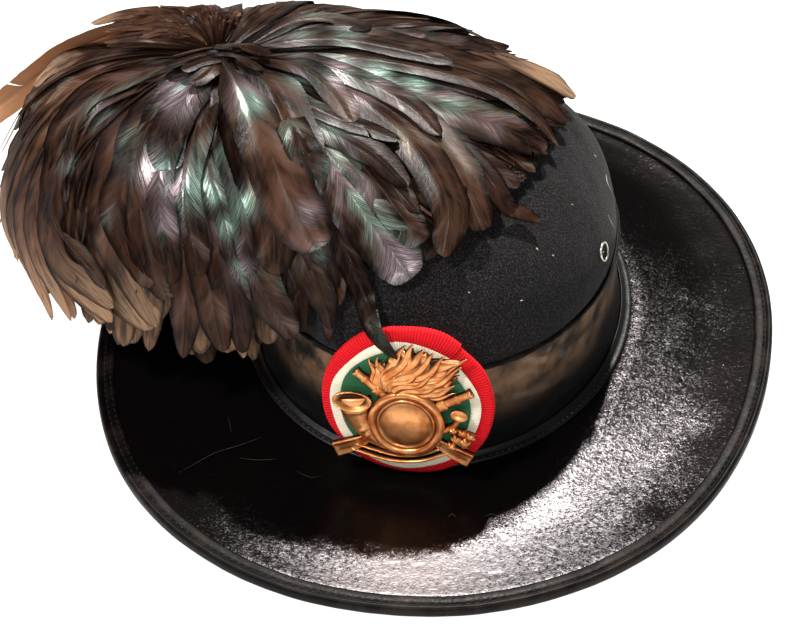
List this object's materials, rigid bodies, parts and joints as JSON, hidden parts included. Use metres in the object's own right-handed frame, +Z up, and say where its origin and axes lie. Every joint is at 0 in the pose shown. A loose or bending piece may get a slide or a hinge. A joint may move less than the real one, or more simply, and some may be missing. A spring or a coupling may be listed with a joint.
{
  "type": "bersaglieri hat",
  "caption": "Broad-brimmed black leather hat with a cloth crown, a tall leather band, a ribbed tricolour cockade, a struck brass badge and a side plume of dark iridescent feathers.",
  "frame": {"origin": "middle of the underside of the whole hat's box, on the plane that the brim rests on", "axes": "+Z up through the crown, -Y towards the front and the cockade, +X towards the wearer's left, away from the plume"},
  "size_m": [0.378, 0.3594, 0.1393],
  "materials": {
    "leather": "waxed black, crackled, semi-gloss",
    "cloth": "black felted wool",
    "nickel": "worn nickel plate",
    "red_ribbon": "ribbed woven ribbon",
    "white_ribbon": "ribbed woven ribbon",
    "green_ribbon": "ribbed woven ribbon",
    "brass": "struck copper-toned brass, satin with dark recesses",
    "feather": "glossy dark cock feathers with green and violet sheen",
    "stem": "wound black thread over a plain post"
  },
  "bodies": {
    "root": {"brim": "leather", "brim_binding": "leather", "crown": "cloth", "crown_band": "leather", "band_piping": "leather", "foot_welt": "leather", "vent_eyelet": "nickel", "cockade_red": "red_ribbon", "cockade_white": "white_ribbon", "cockade_green": "green_ribbon", "badge": "brass", "badge_boss": "brass", "plume_stem": "stem", "plume_crown": "feather", "plume_front": "feather", "plume_side": "feather", "plume_back": "feather", "plume_tuft": "feather", "plume_long_feather": "feather"}
  },
  "joints": []
}
